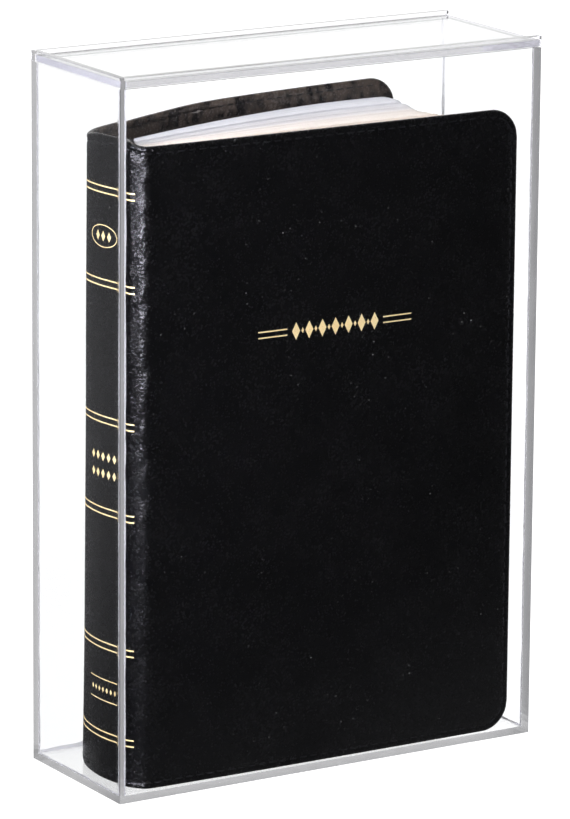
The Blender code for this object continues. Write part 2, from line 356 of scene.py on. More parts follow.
lid_shape = bmesh.new()
bmesh.ops.create_cube(lid_shape, size=1)
bmesh.ops.scale(lid_shape, vec=lid_high - lid_low, verts=lid_shape.verts)
bmesh.ops.translate(lid_shape, vec=(lid_low + lid_high) / 2, verts=lid_shape.verts)
ease_edges(lid_shape, ARRIS)
mark_sawn(lid_shape, wall)
for face in lid_shape.faces:
    x = face.calc_center_median().x
    if min(x - lid_low.x, lid_high.x - x) < ARRIS:
        face.material_index = 2
frosted_end = acrylic("unpolished_end", True, ((0.2, 0.2, 0.21), (0.42, 0.42, 0.44)), 0.25, 0.35)
lid = new_piece("lid_sheet", lid_shape, "lid",
                [clear_face, sawn_edge, frosted_end], ("sliding_lid",), 20)
for clear_piece in (tank, lid):
    clear_piece.visible_shadow = False


# ==== Leather cover ==========================================================================
# One skin of black leather, wrapped round the Bible's boards and turned in at every edge. Its
# spine stands away from the leaves, and both covers have settled against the case's walls.

# The outside of the cover in plan, in millimetres, from the front fore-edge round the spine to
# the back fore-edge. Places with the same number in both lists are one line up the cover.
PLAN_FOOT = [(80.4, -29.8), (30, -29.8), (-20, -29.7), (-53.5, -29.2), (-70, -28.8), (-76, -28.1),
             (-79.6, -24.6), (-81.3, -21.2), (-80.7, -17.5), (-81.4, -13), (-81.8, -7), (-81.1, 1),
             (-79.1, 9), (-74, 18.5), (-66, 24), (-50, 28), (-20, 29.6), (20, 29.8), (63.2, 29.8)]
PLAN_HEAD = [(80.4, -29.8), (30, -29.8), (-20, -29.7), (-53.5, -29.3), (-70, -29), (-76.2, -28.5),
             (-79.9, -25.4), (-81.1, -22.0), (-79.6, -16.5), (-80.2, -11.5), (-81, -6), (-81, 1),
             (-79.4, 6), (-73.3, 10.9), (-62, 14.5), (-47.4, 19.2), (-20, 27.2), (20, 29.8),
             (63.2, 29.8)]
FRONT_JOINT, BACK_JOINT = 5, 12
BACK_RISE = 4.4 * MM  # the splayed back cover stands higher at its fore-edge
SPINE_RISE = 1.4 * MM  # the head of the spine stands up a little past the covers
COVER_CORNER = 11 * MM
NUDGE = 0.03  # a small part of a place, either side of it, for the way the curve runs there
cover_low, cover_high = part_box("leather_cover")
cover_foot = cover_low.z
cover_head = cover_high.z - BACK_RISE


def on_curve(points, place):
    """The places on a smooth curve through the listed points."""
    points = np.array(points, float)
    place = np.clip(place, 0, len(points) - 1)
    k = np.minimum(place.astype(int), len(points) - 2)
    t = (place - k)[..., None]
    a, b = points[np.maximum(k - 1, 0)], points[k]
    c, d = points[k + 1], points[np.minimum(k + 2, len(points) - 1)]
    square, cube = 2 * a - 5 * b + 4 * c - d, 3 * b - a - 3 * c + d
    return 0.5 * (2 * b + (c - a) * t + square * t ** 2 + cube * t ** 3)


PLACES = np.linspace(0, len(PLAN_FOOT) - 1, 1200)
middle_plan = (on_curve(PLAN_FOOT, PLACES) + on_curve(PLAN_HEAD, PLACES)) / 2 * MM
RUN = np.concatenate([[0], np.cumsum(np.linalg.norm(np.diff(middle_plan, axis=0), axis=1))])


def run_to(place):
    """How far round the cover a place in the lists is, from the front fore-edge."""
    return float(np.interp(place, PLACES, RUN))


def cover_point(run, z, depth):
    """The point this deep inside the cover's outer face, so far round it and so high."""
    place = np.interp(run, RUN, PLACES)
    share = np.clip((z - cover_foot) / (cover_head - cover_foot), 0, 1)[..., None]

    def plan(at):
        return on_curve(PLAN_FOOT, at) * (1 - share) + on_curve(PLAN_HEAD, at) * share

    along = plan(place + NUDGE) - plan(place - NUDGE)
    along /= np.linalg.norm(along, axis=-1, keepdims=True)
    inward = np.stack([along[..., 1], -along[..., 0]], axis=-1)
    flat = plan(place) * MM + inward * np.asarray(depth)[..., None]
    return np.concatenate([flat, z[..., None]], axis=-1)


def edge_heights(run):
    """The foot and the head of the cover so far round it."""
    place = np.interp(run, RUN, PLACES)
    last = len(PLAN_FOOT) - 1
    rise = BACK_RISE * np.clip((place - BACK_JOINT) / (last - BACK_JOINT), 0, 1) ** 1.5
    up = np.clip((place - FRONT_JOINT) / 2.2, 0, 1) * np.clip((BACK_JOINT - place) / 2, 0, 1)
    return cover_foot + rise, cover_head + rise + SPINE_RISE * up * up * (3 - 2 * up)


def rounded_in(distance, radius):
    """How far a rounded corner cuts in at this distance from the edge."""
    inside = np.clip(radius - distance, 0, None)
    return radius - np.sqrt(np.clip(radius ** 2 - inside ** 2, 0, None))


def spacing(steps):
    """Shares from 0 to 1 for a grid line after each of these steps."""
    total = np.concatenate([[0], np.cumsum(steps)])
    return total / total[-1]


STEP_GROWTH = 1.18


def edge_steps(near, far, length):
    """Steps that grow from near, at both ends of a length, to far in its middle."""
    steps, gone = [], 0.0
    while gone < length / 2:
        steps.append(min(near * STEP_GROWTH ** len(steps), far))
        gone += steps[-1]
    return steps + steps[::-1]


JOINT_RUN = run_to(FRONT_JOINT) + 2 * MM  # the middle of the fold beside the front board
column_steps = []
for step in edge_steps(0.35 * MM, 1.6 * MM, RUN[-1]):
    parts = 3 if abs(sum(column_steps) - JOINT_RUN) < 15 * MM else 1
    column_steps += [step / parts] * parts
COLUMNS = spacing(column_steps)
ROWS = spacing(edge_steps(0.5 * MM, 1.3 * MM, cover_head - cover_foot))


def cover_grid(inset, start=0.0, end=RUN[-1], ends=(True, True), columns=COLUMNS, rows=ROWS):
    """How far round and how high the points of a patch of the cover are, column by column.

    The patch runs from start to end, inset from the head and foot. ends says which of its two
    ends is a fore-edge, which is inset too and has round corners.
    """
    low = start + inset * ends[0]
    high = end - inset * ends[1]
    run = low + (high - low) * columns
    radius = max(COVER_CORNER - inset, 1 * MM)
    trim = inset + rounded_in(run - low, radius) * ends[0]
    trim = trim + rounded_in(high - run, radius) * ends[1]
    foot, head = edge_heights(run)
    foot, head = foot + trim, head - trim
    z = foot[:, None] + (head - foot)[:, None] * rows[None, :]
    return np.repeat(run[:, None], len(rows), axis=1), z


def falling(distance, reach):
    """1 at no distance, falling smoothly to nothing past this reach."""
    return np.exp(-(distance / reach) ** 2)


WAVE, CREASE, CRINKLE = 0.16 * MM, 0.25 * MM, 0.14 * MM  # depths: all over, and in the joint
PUCKER, JOINT_PUCKER = 0.12 * MM, 0.5 * MM  # depths: along the hem, and more of it by the joint


def swell(run, z):
    """How far the leather's face is pushed in by soft waves, joint creases and hem puckers."""
    amount = np.zeros(run.shape)
    joint = falling(run - JOINT_RUN, 7 * MM)
    hem = falling(cover_head - 6.5 * MM - z, 4.5 * MM)
    pull = PUCKER + JOINT_PUCKER * falling(run - JOINT_RUN + 12 * MM, 20 * MM)
    for index in np.ndindex(run.shape):
        # u and v are metres round the cover and up it, so what multiplies them is lumps in a metre.
        u, v = run[index], z[index]
        wave = noise.noise(Vector((u * 22, v * 16, 1.7)))
        crease = noise.noise(Vector(((u + 0.5 * v) * 260, (v - 0.4 * u) * 90, 5.1)))
        pucker = noise.noise(Vector(((u - 0.6 * v) * 230, (v + 0.5 * u) * 150, 9.3)))
        amount[index] = WAVE * wave + CREASE * joint[index] * crease
        amount[index] += pull[index] * hem[index] * pucker
        if joint[index] > 0.1:
            crinkle = noise.noise(Vector(((u + 0.7 * v) * 620, (v - 0.7 * u) * 240, 3.3)))
            amount[index] += CRINKLE * joint[index] * crinkle
    return amount


def worked(run, z):
    """Where the leather was bent or pulled as it was turned in, so that its grain stands out."""
    joint = falling(run - JOINT_RUN, 9 * MM)
    head = falling(cover_head - 4 * MM - z, 7 * MM)
    foot = falling(z - cover_foot - 4 * MM, 6 * MM)
    return np.clip(0.1 + 0.6 * joint + (0.7 * head + 0.5 * foot), 0, 1)


# The leather's own section at an edge: how far in from the edge, and how deep, in millimetres.
# It runs from the outer face over the stitched hem and the rolled edge to the turn-in's end,
# then back under the board.
HEM_SECTION = [(4.6, 0), (3.6, 0.04), (3.1, 0.18), (2.7, 0.34), (2.3, 0.34), (1.9, 0.16),
               (1.5, 0.0), (1.0, 0.0), (0.5, 0.12), (0.15, 0.42), (0.0, 0.85), (0.0, 1.45),
               (0.15, 1.88), (0.5, 2.15), (1.0, 2.26), (1.8, 2.28), (2.4, 2.18), (2.9, 2.12),
               (3.4, 2.2), (4.2, 2.3), (5, 2.3), (6, 2.3), (7, 2.3), (9, 2.3), (12.6, 2.28),
               (13, 2.2), (13, 1.98), (12.6, 1.92), (2.0, 1.92), (1.5, 1.7), (1.5, 1.2)]
UNDERSIDE = (1.9, 0.97)
INSIDE_DEPTH = 1.6 * MM  # leather this deep faces the leaves
PLEAT = 0.9 * MM  # how deep the turned-in leather is gathered in the corners
PLEAT_REACH = 8.5 * MM
PLEAT_TURN = 210  # how fast the pleats follow one another, by angle round the cover's middle


def boundary(count_u, count_v):
    """The grid places round the rim of a patch, in order."""
    rim = [(i, 0) for i in range(count_u)]
    rim += [(count_u - 1, j) for j in range(1, count_v)]
    rim += [(i, count_v - 1) for i in range(count_u - 2, -1, -1)]
    rim += [(0, j) for j in range(count_v - 2, 0, -1)]
    return rim


def along_rim(grid, rim):
    """A grid's values at these places of its rim."""
    return np.array([grid[i, j] for i, j in rim])


def corner_share(run, z):
    """1 in a fore-edge corner of the cover, falling to 0 along its straight edges."""
    foot, head = edge_heights(run)
    side = np.minimum(run, RUN[-1] - run)
    end = np.minimum(z - foot, head - z)
    return np.exp(-(np.maximum(side, end) / PLEAT_REACH) ** 4)


def sew_cover():
    """The whole leather skin as one closed mesh.

    Each point keeps how far inside the book it is, and how much the leather was worked there.
    """
    shape = bmesh.new()
    inside = shape.verts.layers.float.new("inside")
    strained = shape.verts.layers.float.new("strained")
    rim = boundary(len(COLUMNS), len(ROWS))

    def add_points(run, z, depth):
        points = cover_point(run, z, depth).reshape(-1, 3)
        shares = np.clip(depth / INSIDE_DEPTH, 0, 1).ravel()
        made = []
        for point, share, strain in zip(points, shares, worked(run, z).ravel()):
            vert = shape.verts.new(point)
            vert[inside] = share
            vert[strained] = max(strain, share)
            made.append(vert)
        return made

    def fill(inset, depth, waves):
        run, z = cover_grid(inset)
        level = depth + (swell(run, z) if waves else 0 * run)
        made = add_points(run, z, level)
        rows = len(ROWS)
        for i in range(len(COLUMNS) - 1):
            for j in range(rows - 1):
                a = i * rows + j
                shape.faces.new((made[a], made[a + rows], made[a + rows + 1], made[a + 1]))
        return [made[i * rows + j] for i, j in rim]

    def join(loop, after):
        for k in range(len(rim)):
            m = (k + 1) % len(rim)
            shape.faces.new((loop[k], loop[m], after[m], after[k]))
        return after

    loop = fill(HEM_SECTION[0][0] * MM, 0.0, True)
    for inset, depth in HEM_SECTION[1:]:
        run, z = (along_rim(grid, rim) for grid in cover_grid(inset * MM))
        level = np.full(run.shape, depth * MM)
        if inset < 4:  # the face's waves die away towards the rolled edge
            level = level + swell(run, z) * inset / HEM_SECTION[0][0]
        if depth > 2.0 and 0.8 < inset < 6.5:  # the turn-in's face, up to the lining
            turn = np.unwrap(np.arctan2(z - np.mean(z), run - np.mean(run)))
            level = level + PLEAT * corner_share(run, z) * np.abs(np.sin(turn * PLEAT_TURN))
        loop = join(loop, add_points(run, z, level))
    join(loop, fill(UNDERSIDE[0] * MM, UNDERSIDE[1] * MM, False))
    return shape


def leather_finish():
    """Black bonded leather: fine pebbled grain, a little dust, and a brown unblacked inside."""
    finish = Finish("black_leather", Specular_IOR_Level=0.4)
    bend = finish.noise(5 * MM, 3)
    where = finish.place()
    shove = finish.node("ShaderNodeVectorMath", {"operation": "MULTIPLY_ADD"},
                        {0: bend, 1: (3 * MM, 3 * MM, 3 * MM), 2: where})
    cells = finish.node("ShaderNodeTexVoronoi", {"feature": "SMOOTH_F1"},
                        {"Vector": shove, "Scale": 1 / (1.15 * MM), "Smoothness": 0.6}, "Distance")
    pores = finish.noise(0.45 * MM, 2)
    creases = finish.noise(3.2 * MM, 4, finish.place((1, 1, 0.55)))
    strained = finish.node("ShaderNodeAttribute", {"attribute_name": "strained"}, None, "Fac")
    grain = (0.5 * cells + 0.2 * pores + 0.6 * creases) * (0.3 + 0.7 * strained)
    specks = finish.node("ShaderNodeTexVoronoi", {"feature": "F1"},
                         {"Vector": where, "Scale": 1 / (3.6 * MM)}, "Distance")
    dust = finish.between(specks, 0.10, 0.04) * finish.between(finish.noise(21 * MM), 0.46, 0.72)
    inside = finish.node("ShaderNodeAttribute", {"attribute_name": "inside"}, None, "Fac")
    inner = finish.between(inside, 0.35, 0.75)
    worn = finish.noise(17 * MM, 4)
    black = finish.blend(worn, (0.0004, 0.0004, 0.0005), (0.0012, 0.0012, 0.0014))
    brown = finish.blend(finish.between(creases, 0.35, 0.65),
                         (0.010, 0.009, 0.009), (0.058, 0.046, 0.037))
    colour = finish.blend(inner, black, brown)
    colour = finish.blend(dust * 0.9, colour, (0.22, 0.22, 0.21))
    finish.feed(Base_Color=colour, Roughness=0.14 + 0.14 * (1 - cells) + 0.08 * worn,
                Normal=finish.bump(grain, 0.3 * MM, Strength=1.0))
    return finish


leather = leather_finish()
new_piece("leather_skin", sew_cover(), "bible", [leather], ("leather_cover",), 60)


# ==== Cover linings ==========================================================================
# Dark paper pasted over the turned-in leather on the inside of each cover, up to the joint. It
# stops short of the cover's edges, so that a margin of leather shows round it.

LINING_MARGIN = 6.8 * MM
LINING_STOP = 0.7  # of a place short of the joint
LINING_DEPTHS = (2.34 * MM, 2.5 * MM)  # its two faces, below the cover's outer face


def lay_lining(name, start, end, ends, finish):
    """A thin closed sheet that follows the inside of one cover."""
    shape = bmesh.new()
    columns = spacing(edge_steps(0.6 * MM, 4 * MM, end - start))
    rows = spacing(edge_steps(0.8 * MM, 8 * MM, cover_head - cover_foot))
    run, z = cover_grid(LINING_MARGIN, start, end, ends, columns, rows)
    layers = []
    for depth in LINING_DEPTHS:
        points = cover_point(run, z, np.full(run.shape, depth))
        layers.append([[shape.verts.new(p) for p in column] for column in points])
    for layer in layers:
        for a, b in zip(layer, layer[1:]):
            for j in range(len(rows) - 1):
                shape.faces.new((a[j], b[j], b[j + 1], a[j + 1]))
    rim = boundary(len(columns), len(rows))
    outer, inner = layers
    for (i, j), (k, m) in zip(rim, rim[1:] + rim[:1]):
        shape.faces.new((outer[i][j], outer[k][m], inner[k][m], inner[i][j]))
    new_piece(name + "_paper", shape, "bible", [finish], (name,), 40)


lining = Finish("lining_paper", Specular_IOR_Level=0.4)
fibre = lining.noise(0.9 * MM, 5)
blotch = lining.noise(24 * MM, 3)
lining_tone = lining.blend(0.6 * blotch + 0.4 * fibre, (0.012, 0.009, 0.007), (0.032, 0.024, 0.018))
lining.feed(Base_Color=lining_tone, Roughness=0.45 + 0.25 * fibre,
            Normal=lining.bump(fibre, 0.05 * MM, Strength=0.6))
lay_lining("front_lining", 0.0, run_to(FRONT_JOINT - LINING_STOP), (True, False), lining)
lay_lining("back_lining", run_to(BACK_JOINT + LINING_STOP), RUN[-1], (False, True), lining)


# ==== Boards and spine stiffener =============================================================
# Grey board inside the leather of each cover, and a strip of card down the inside of the spine.
# They are glued in out of sight, so they keep their plain shapes and get only a finish.

board = Finish("grey_board", Specular_IOR_Level=0.3)
pulp = board.noise(0.7 * MM, 5)
board_tone = board.blend(pulp, (0.15, 0.135, 0.12), (0.24, 0.22, 0.2))
board.feed(Base_Color=board_tone, Roughness=0.8 + 0.15 * pulp,
           Normal=board.bump(pulp, 0.08 * MM, Strength=0.7))
for node_name in ("front_board", "back_board", "spine_stiffener"):
    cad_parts[node_name].data.materials.clear()
    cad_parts[node_name].data.materials.append(board.material)


# ==== Leaves =================================================================================
# Thin bible paper, sewn in sections. The leaves are held tight at the spine and fan out to
# fill the case at the fore-edge, which curves in between the covers.

# The outermost leaves in plan, in millimetres, from their folds to the fore-edge.
FRONT_LEAF = [(-70.5, -23.9), (-53.5, -25.0), (-20, -26.3), (20, -26.5), (68.5, -26.5)]
BACK_LEAF = [(-65, 0.6), (-40, 9.6), (-5, 19.6), (30, 26.0), (61.8, 26.3)]
FORE_EDGE_HOLLOW = 8.2 * MM
HOLLOW_SKEW = 1.15  # over 1 puts the deepest part of the hollow nearer to the front
SPINE_ROUND = 2.6 * MM  # how far the folds bow out between the first section and the last
LEAF_CORNER = 4.5 * MM
# How far each section stands out at the fore-edge and at the head, in millimetres.
SECTION_REACH = (2.0, 1.7, -1.6, -1.2, 1.8, 1.4, -1.8, -0.8)
SECTION_LIFT = (0.0, 0.1, 0.6, 0.4, -0.3, -0.1, 0.6, 0.3)
SECTIONS = len(SECTION_REACH)
BUNDLES = 15  # in each section, each a few leaves that lie together
REACH_PLAY, LIFT_PLAY = 0.28 * MM, 0.12 * MM  # how far a bundle may be from its section
FULL, SLACK = 0.86, 0.4  # the part of its place that a bundle fills: most, and the end ones
FLYLEAF_SHARE = 0.004  # of the block's thickness
FLYLEAF_GAP = 0.3 * MM  # that it stands off the leaves
leaf_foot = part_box("page_section_1")[0].z
leaf_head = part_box("page_section_1")[1].z
# Stations along a leaf, close together at the fore-edge, where its corners are round.
LEAF_STEPS = spacing([0.4, 0.8, 1.2] + [1.4] * 8
                     + [1.0, 0.7, 0.45, 0.3, 0.22, 0.16, 0.12, 0.09, 0.07])


def leaf_points(share, along):
    """Places in plan of the leaf at this share of the block, 0 in front and 1 at the back."""
    last = len(FRONT_LEAF) - 1
    front = on_curve(FRONT_LEAF, along * last) * MM
    back = on_curve(BACK_LEAF, along * last) * MM
    point = front * (1 - share) + back * share
    point[:, 0] -= FORE_EDGE_HOLLOW * math.sin(math.pi * min(share * HOLLOW_SKEW, 1)) * along ** 2
    point[:, 0] -= SPINE_ROUND * math.sin(math.pi * min(share, 1)) * (1 - along) ** 6
    return point


def add_leaf(shape, layer, first, last, reach, lift, full):
    """One bundle of leaves between two shares of the block, as a closed thin wedge."""
    front, back = leaf_points(first, LEAF_STEPS), leaf_points(last, LEAF_STEPS)
    middle = (front + back) / 2
    half = (back - front) / 2 * full
    front, back = middle - half, middle + half
    for side in (front, back):
        side[:, 0] += reach * LEAF_STEPS ** 3
    gone = np.linalg.norm(middle - middle[-1], axis=1)
    trim = rounded_in(gone, LEAF_CORNER)
    rings = []
    for k in range(len(LEAF_STEPS)):
        low, high = leaf_foot + trim[k] + lift, leaf_head - trim[k] + lift
        rings.append([])
        for side, z in ((front, low), (back, low), (back, high), (front, high)):
            vert = shape.verts.new((side[k, 0], side[k, 1], z))
            vert[layer] = first
            rings[-1].append(vert)
    skin_rings(shape, rings)


def paper_finish():
    """Warm white paper, with the fine lines of the leaves' cut edges along it, drawn as painted
    shade.
    """
    finish = Finish("bible_paper", Specular_IOR_Level=0.25)
    share = finish.node("ShaderNodeAttribute", {"attribute_name": "share"}, None, "Fac")
    lines = finish.noise(0.16 * MM, 3, finish.place((0.05, 1, 0.12)), 0.7)
    slow = finish.noise(2.5 * MM, 2, finish.place((0.1, 1, 0.1)))
    # the paper's cream with painted light and shade across the block: greyer, darker and cooler
    # towards the back, and darker just before each step between groups of sections
    paper_tone_and_painted_shade = finish.node("ShaderNodeValToRGB", {"stops": [
        (0.0, (0.93, 0.80, 0.66)), (0.24, (0.90, 0.80, 0.69)), (0.26, (0.94, 0.87, 0.78)),
        (0.49, (0.80, 0.75, 0.70)), (0.51, (0.84, 0.81, 0.78)), (0.74, (0.66, 0.66, 0.67)),
        (0.76, (0.76, 0.765, 0.78)), (1.0, (0.66, 0.67, 0.70))]}, {"Fac": share})
    # painted shade in the fine lines between the leaves and in slow patches
    shade = finish.blend(0.55 * lines + 0.3 * slow, (1.0, 1.0, 1.0), (0.72, 0.71, 0.70))
    colour = finish.node("ShaderNodeMix", {"data_type": "RGBA", "blend_type": "MULTIPLY"},
                         {0: 1.0, 6: paper_tone_and_painted_shade, 7: shade}, 2)
    finish.feed(Base_Color=colour, Roughness=0.75 + 0.2 * lines,
                Normal=finish.bump(lines, 0.05 * MM, Strength=0.5))
    return finish


paper = paper_finish()
shuffle = random.Random(11)
for number in range(SECTIONS):
    section_shape = bmesh.new()
    share_layer = section_shape.verts.layers.float.new("share")
    section_reach = SECTION_REACH[number] * MM
    section_lift = SECTION_LIFT[number] * MM
    for bundle in range(BUNDLES):
        start = (number + bundle / BUNDLES) / SECTIONS
        end = (number + (bundle + 1) / BUNDLES) / SECTIONS
        reach = section_reach + shuffle.uniform(-REACH_PLAY, REACH_PLAY)
        lift = section_lift + shuffle.uniform(-LIFT_PLAY, LIFT_PLAY)
        full = SLACK if bundle in (0, BUNDLES - 1) else FULL
        add_leaf(section_shape, share_layer, start, end, reach, lift, full)
    new_piece(f"leaves_{number + 1}", section_shape, "bible", [paper],
              (f"page_section_{number + 1}",), 30)

for flyleaf, share, side in (("front_flyleaf", 0.0, -1), ("back_flyleaf", 1.0, 1)):
    sheet_shape = bmesh.new()
    share_layer = sheet_shape.verts.layers.float.new("share")
    add_leaf(sheet_shape, share_layer, share, share + FLYLEAF_SHARE, 0, 0, 1)
    for vert in sheet_shape.verts:
        vert.co.y += side * FLYLEAF_GAP
    new_piece(flyleaf + "_sheet", sheet_shape, "bible", [paper], (flyleaf,), 30)


# ==== Headbands and spine gauze ==============================================================
# A roll of black woven cloth is glued over the folds at each end of the spine, and open gauze
# down the length of them.

HEADBAND_RADIUS = 2.2 * MM
HEADBAND_OFF = 0.95  # how far its middle stands off the folds, in radii
HEADBAND_SINK = 0.9 * MM  # below the leaves' head, or above their foot
HEADBAND_TAPER, HEADBAND_RIPPLE = 0.45, 0.03  # shares of the radius, at its ends and all along
HEADBAND_STEPS, HEADBAND_SIDES = 40, 20
GAUZE_FACES = (0.15 * MM, 0.6 * MM)  # off the folds
GAUZE_STEPS = 24
FIRST_FOLD, LAST_FOLD = 0.02, 0.98  # shares of the block's thickness that the cloth spans


def spine_fold(span):
    """Where the folds lie in plan, from 0 at one edge of the cloth to 1 at the other."""
    share = FIRST_FOLD + (LAST_FOLD - FIRST_FOLD) * span
    return leaf_points(share, np.array([0.0]))[0]


across_folds = spine_fold(1) - spine_fold(0)
off_folds = np.array([-across_folds[1], across_folds[0]]) / np.linalg.norm(across_folds)


def roll_headband(node_name, level, finish):
    """A fat soft roll along the curved end of the folds."""
    shape = bmesh.new()
    rings = []
    for k in range(HEADBAND_STEPS + 1):
        span = k / HEADBAND_STEPS
        taper = 1 - HEADBAND_TAPER * abs(2 * span - 1) ** 6
        radius = HEADBAND_RADIUS * taper * (1 + HEADBAND_RIPPLE * math.sin(k * 2.4))
        centre = spine_fold(span) + off_folds * HEADBAND_RADIUS * HEADBAND_OFF
        rings.append([])
        for j in range(HEADBAND_SIDES):
            turn = 2 * math.pi * j / HEADBAND_SIDES
            flat = centre + off_folds * radius * math.cos(turn)
            rings[-1].append(shape.verts.new((*flat, level + radius * math.sin(turn))))
    skin_rings(shape, rings)
    new_piece(node_name + "_roll", shape, "bible", [finish], (node_name,), 50)


def ribs(finish, direction, scale, uneven=0.0):
    """Fine ribs that follow one another in a direction, as in woven cloth or twisted thread."""
    return finish.node("ShaderNodeTexWave", {"bands_direction": direction},
                       {"Vector": finish.place(), "Scale": scale, "Distortion": uneven})


band_cloth = Finish("headband_cloth", Specular_IOR_Level=0.3)
rib = ribs(band_cloth, "Y", 900.0, 0.6)
band_tone = band_cloth.blend(rib, (0.006, 0.006, 0.007), (0.02, 0.02, 0.022))
band_cloth.feed(Base_Color=band_tone, Roughness=0.7 + 0.15 * rib,
                Normal=band_cloth.bump(rib, 0.12 * MM, Strength=0.8))
roll_headband("head_band", leaf_head - HEADBAND_SINK, band_cloth)
roll_headband("tail_band", leaf_foot + HEADBAND_SINK, band_cloth)

gauze = Finish("spine_gauze", Specular_IOR_Level=0.2)
weave = 0.5 * ribs(gauze, "Z", 330.0, 0.4) + 0.5 * ribs(gauze, "Y", 330.0, 0.4)
gauze_tone = gauze.blend(weave, (0.3, 0.27, 0.22), (0.72, 0.68, 0.6))
gauze.feed(Base_Color=gauze_tone, Roughness=0.85 + 0.1 * weave,
           Normal=gauze.bump(weave, 0.15 * MM, Strength=0.8))
gauze_low, gauze_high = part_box("spine_gauze")
gauze_shape = bmesh.new()
gauze_rings = []
for k in range(GAUZE_STEPS + 1):
    near, far = (spine_fold(k / GAUZE_STEPS) + off_folds * off for off in GAUZE_FACES)
    corners = ((near, gauze_low.z), (far, gauze_low.z), (far, gauze_high.z), (near, gauze_high.z))
    gauze_rings.append([gauze_shape.verts.new((*flat, z)) for flat, z in corners])
skin_rings(gauze_shape, gauze_rings)
new_piece("gauze_strip", gauze_shape, "bible", [gauze], ("spine_gauze",), 50)


# ==== Stitching ==============================================================================
# Black waxed thread, sewn right round the hem of the cover through leather and board. Each
# stitch lies along the face and dips into its holes, outside the cover and inside it.

STITCH_INSET = 2.5 * MM
STITCH_PITCH = 4.4 * MM
STITCH_LENGTH = 3.3 * MM
THREAD_RADIUS = 0.27 * MM
THREAD_SIDES = 7
OUTER_THREAD, INNER_THREAD = 0.22 * MM, 2.22 * MM  # the thread's depth below the outer face
# Stations along one stitch, in stitch lengths, and how far the thread dips there, in radii.
STITCH_ARC = np.array([-0.5, -0.36, -0.12, 0.12, 0.36, 0.5])
STITCH_DIP = np.array([1.3, 0.35, 0.0, 0.0, 0.35, 1.3])
THREAD_END = 0.45  # the thread's radius where it goes into its hole, as a share
OFF_FACE = 0.2 * MM  # a short way off the leather's face, which gives its direction


def hem_line(inset, step):
    """Evenly spaced places round the cover's hem: how far round, and how high."""
    rim = boundary(len(COLUMNS), len(ROWS))
    run, z = (along_rim(grid, rim + rim[:1]) for grid in cover_grid(inset))
    gone = np.concatenate([[0], np.cumsum(np.hypot(np.diff(run), np.diff(z)))])
    marks = np.linspace(0, gone[-1], max(3, round(gone[-1] / step)) + 1)[:-1]
    return gone, run, z, marks


def add_stitch(shape, points, outward):
    """A short closed length of thread through these points, round in section."""
    rings = []
    last = len(points) - 1
    for k, point in enumerate(points):
        ahead = Vector(points[min(k + 1, last)] - points[max(k - 1, 0)]).normalized()
        side = ahead.cross(Vector(outward[k])).normalized()
        up = side.cross(ahead)
        radius = THREAD_RADIUS * (THREAD_END if k in (0, last) else 1.0)
        rings.append([])
        for j in range(THREAD_SIDES):
            turn = 2 * math.pi * j / THREAD_SIDES
            spoke = side * math.cos(turn) + up * math.sin(turn)
            rings[-1].append(shape.verts.new(Vector(point) + radius * spoke))
    skin_rings(shape, rings)


def sew(name, inward, depth, finish):
    """A run of stitches round the hem. inward is 1 on the inside of the cover and -1 outside."""
    gone, run, z, marks = hem_line(STITCH_INSET, STITCH_PITCH)
    shape = bmesh.new()
    for mark in marks:
        at = (mark + STITCH_ARC * STITCH_LENGTH) % gone[-1]
        here_run, here_z = np.interp(at, gone, run), np.interp(at, gone, z)
        sunk = depth - inward * STITCH_DIP * THREAD_RADIUS
        points = cover_point(here_run, here_z, sunk)
        outward = cover_point(here_run, here_z, sunk + inward * OFF_FACE) - points
        add_stitch(shape, points, outward)
    new_piece(name, shape, "bible", [finish], (), 60)


thread = Finish("waxed_thread", Specular_IOR_Level=0.2)
twist = ribs(thread, "DIAGONAL", 1500.0)
thread_tone = thread.blend(twist, (0.002, 0.002, 0.0025), (0.008, 0.008, 0.009))
thread.feed(Base_Color=thread_tone, Roughness=0.42 + 0.15 * twist,
            Normal=thread.bump(twist, 0.08 * MM, Strength=0.8))
sew("outer_stitches", -1, OUTER_THREAD, thread)
sew("inner_stitches", 1, INNER_THREAD, thread)


# ==== Gold tooling ===========================================================================
# Gold foil pressed into the leather with a heated die: pairs of rules across the spine, and
# plain lozenge ornaments on the spine and on the front cover.

FOIL_PROUD = 0.03 * MM
FOIL_SUNK = 0.12 * MM
RULE_WIDTH = 0.52 * MM
RULE_GAP = 2.35 * MM
RULE_STEP = 0.8 * MM  # so that a rule follows the curve of the spine
SMALL_PANEL, LARGE_PANEL = 34.0 * MM, 50.4 * MM
LOWEST_RULE = 16.85 * MM  # above the foot of the cover
OVAL = (15.5 * MM, 8 * MM, 0.35 * MM)  # its width and height, and its line's width
OVAL_STEPS = 24  # in each half
MIDDLE_ROW_OFFSET = 3.2 * MM  # from the panel's middle to each of its two rows of lozenges
FOOT_RULE_OFFSET, FOOT_RULE_REACH, FOOT_RULE_WIDTH = 4 * MM, 9 * MM, 0.4 * MM
# Rows of lozenges: how many, how far apart, and the width and height of each.
OVAL_LOZENGES = (3, 3.4 * MM, 2.3 * MM, 3.8 * MM)
MIDDLE_LOZENGES = (5, 3.3 * MM, 2.2 * MM, 3.4 * MM)
FOOT_LOZENGES = (7, 2.4 * MM, 1.4 * MM, 2.2 * MM)
TITLE_LOZENGES = (7, 5.6 * MM, 3.4 * MM, 6.6 * MM)
TITLE_DOTS = (6, 5.6 * MM, 1.2 * MM, 2.2 * MM)
spine_middle = (run_to(6) + run_to(12)) / 2
rule_start, rule_end = run_to(5.95), run_to(12.3)


